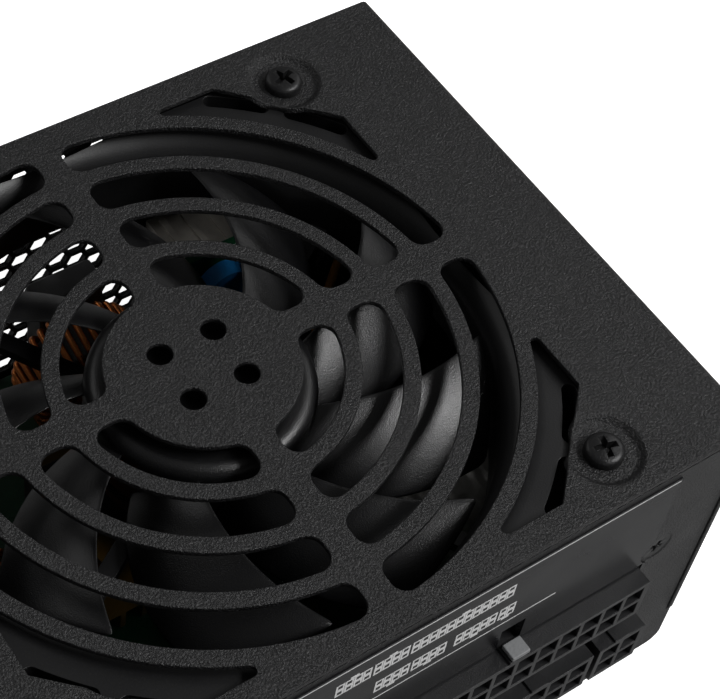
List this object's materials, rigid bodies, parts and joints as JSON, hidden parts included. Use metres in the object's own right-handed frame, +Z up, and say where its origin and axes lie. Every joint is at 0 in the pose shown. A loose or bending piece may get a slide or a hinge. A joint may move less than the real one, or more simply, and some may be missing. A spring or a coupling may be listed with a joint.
{
  "type": "power supply unit",
  "caption": "Small box-shaped mains power supply with a pressed fan grille on top, detachable cable sockets on one wall, and a mains inlet with a rocker switch on the other.",
  "frame": {"origin": "middle of the flat underside", "axes": "+Z up through the fan grille, -Y out through the cable socket wall, +Y out through the mains inlet wall, +X to the right when the socket wall is seen from outside"},
  "size_m": [0.125, 0.1053, 0.0645],
  "materials": {
    "painted_steel": "satin, fine texture",
    "label_film": "satin",
    "black_screw": "black oxide",
    "fan_plastic": "satin",
    "socket_plastic": "satin",
    "rocker_plastic": "gloss",
    "bare_steel": "satin",
    "brass": "satin",
    "copper_wire": "enamelled",
    "ferrite": "matt",
    "circuit_board": "satin",
    "aluminium": "satin",
    "insulation": "satin",
    "winding_tape": "satin",
    "capacitor_sleeve": "satin",
    "blue_ceramic": "gloss",
    "grey_case": "satin",
    "white_nylon": "satin",
    "black_wire": "satin",
    "orange_wire": "satin"
  },
  "bodies": {
    "case": {"top_cover": "painted_steel", "bottom_tray": "painted_steel", "front_label": "label_film", "fan_screw_1": "black_screw", "fan_screw_2": "black_screw", "fan_screw_3": "black_screw", "fan_screw_4": "black_screw", "case_screw_front_right": "black_screw", "case_screw_front_left": "black_screw", "case_screw_rear_right": "black_screw", "case_screw_rear_left": "black_screw", "fan_frame": "fan_plastic", "socket_24way": "socket_plastic", "socket_8way_upper_inner": "socket_plastic", "socket_8way_upper_outer": "socket_plastic", "socket_4way": "socket_plastic", "socket_10way": "socket_plastic", "socket_8way_lower_inner": "socket_plastic", "socket_8way_lower_outer": "socket_plastic", "ac_inlet": "socket_plastic", "switch_housing": "socket_plastic", "power_transistor": "socket_plastic", "inlet_pin_neutral": "bare_steel", "inlet_pin_earth": "bare_steel", "inlet_pin_live": "bare_steel", "board_screw_1": "bare_steel", "board_screw_2": "bare_steel", "board_screw_3": "bare_steel", "board_screw_4": "bare_steel", "fan_bearing": "brass", "standoff_1": "brass", "standoff_2": "brass", "standoff_3": "brass", "standoff_4": "brass", "fan_stator": "copper_wire", "input_choke_winding": "copper_wire", "output_choke_winding": "copper_wire", "input_choke_core": "ferrite", "output_choke_core": "ferrite", "transformer_core": "ferrite", "main_board": "circuit_board", "modular_board": "circuit_board", "input_board": "circuit_board", "inlet_shield": "aluminium", "heatsink_primary": "aluminium", "heatsink_secondary": "aluminium", "insulation_sheet": "insulation", "transformer_winding": "winding_tape", "bulk_capacitor": "capacitor_sleeve", "output_capacitor_1": "capacitor_sleeve", "output_capacitor_2": "capacitor_sleeve", "disc_capacitor": "blue_ceramic", "filter_capacitor": "grey_case", "fan_header": "white_nylon", "fan_lead": "black_wire", "switch_lead": "orange_wire"},
    "rotor": {"fan_rotor": "fan_plastic", "rotor_magnet": "ferrite", "rotor_shaft": "bare_steel"},
    "rocker": {"switch_rocker": "rocker_plastic"}
  },
  "joints": [
    {"name": "fan_spin", "type": "hinge", "parent": "case", "child": "rotor", "pos_m": [-0.0017, -0.0004, 0.05], "axis": [0, 0, 1], "continuous": true},
    {"name": "rocker_tilt", "type": "hinge", "parent": "case", "child": "rocker", "pos_m": [0.055, 0.0483, 0.044], "axis": [1, 0, 0], "range_deg": [0, 20]}
  ]
}
